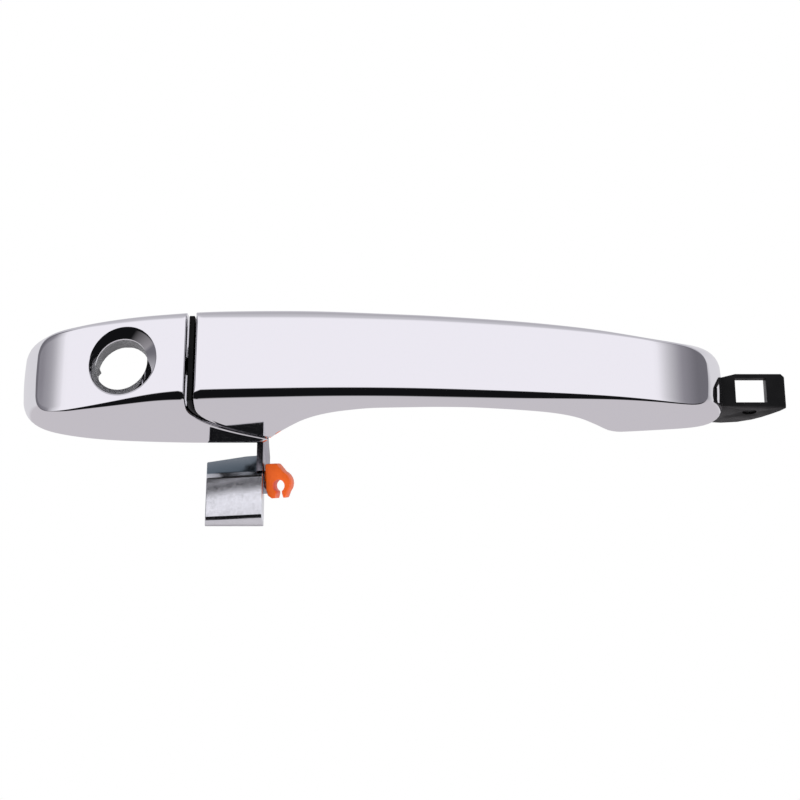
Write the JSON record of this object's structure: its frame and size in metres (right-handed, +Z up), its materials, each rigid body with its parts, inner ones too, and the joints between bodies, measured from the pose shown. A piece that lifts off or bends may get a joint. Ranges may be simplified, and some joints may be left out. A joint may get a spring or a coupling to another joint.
{
  "type": "car door handle",
  "caption": "Chromed exterior pull handle with a key-end cap, hinge arm, bellcrank with counterweight and rod clip.",
  "frame": {"origin": "on the back face of the base gasket, which is the skin of the door, between the key bay and the lever's step, halfway up the handle", "axes": "+X along the handle from the key end to the hinge arm, +Y into the door, +Z up"},
  "size_m": [0.2753, 0.071, 0.0655],
  "materials": {
    "chrome": "bright plated",
    "black_nylon": "moulded satin",
    "black_textured": "fine grain",
    "grey_nylon": "moulded satin",
    "rubber": "moulded",
    "brass": "turned",
    "steel": "plated",
    "zinc_steel": "zinc plated sheet",
    "cast_zinc": "cast, clear plated",
    "orange_acetal": "moulded"
  },
  "bodies": {
    "root": {"key_cap": "chrome", "seam_buffer": "black_nylon", "lock_guide_ring": "grey_nylon", "base_housing": "black_nylon", "base_gasket": "rubber", "fixing_insert": "brass", "cap_screw_1": "steel", "cap_screw_2": "steel", "cap_screw_3": "steel", "lever_pin": "steel", "pin_retainer": "steel", "return_spring": "steel"},
    "grip": {"grip_cover": "chrome", "grip_carrier": "black_nylon", "grip_back_cover": "black_textured", "grip_screw_1": "steel", "grip_screw_2": "steel", "grip_screw_3": "steel", "front_pad": "rubber"},
    "bellcrank": {"lever_plate": "zinc_steel", "pivot_tube": "steel", "counterweight": "cast_zinc", "finger_sleeve": "rubber"},
    "clip": {"rod_clip": "orange_acetal"}
  },
  "joints": [
    {"name": "grip_pull", "type": "hinge", "parent": "root", "child": "grip", "pos_m": [0.216, 0.004, 0], "axis": [0, 0, 1], "range_deg": [0, 6], "stiffness_Nm_per_rad": 0.6},
    {"name": "bellcrank_turn", "type": "hinge", "parent": "root", "child": "bellcrank", "pos_m": [0.02, 0.017, -0.001], "axis": [0.9863, -0.165, 0], "range_deg": [0, 56.4], "stiffness_Nm_per_rad": 0.02, "deforming": ["return_spring"]},
    {"name": "rod_clip_swing", "type": "hinge", "parent": "bellcrank", "child": "clip", "pos_m": [0.031, 0.0222, -0.025], "axis": [0.9863, -0.165, 0], "range_deg": [-75, 75]}
  ],
  "couplings": [
    {"joint": "bellcrank_turn", "follows": "grip_pull", "ratio": 9.4}
  ]
}
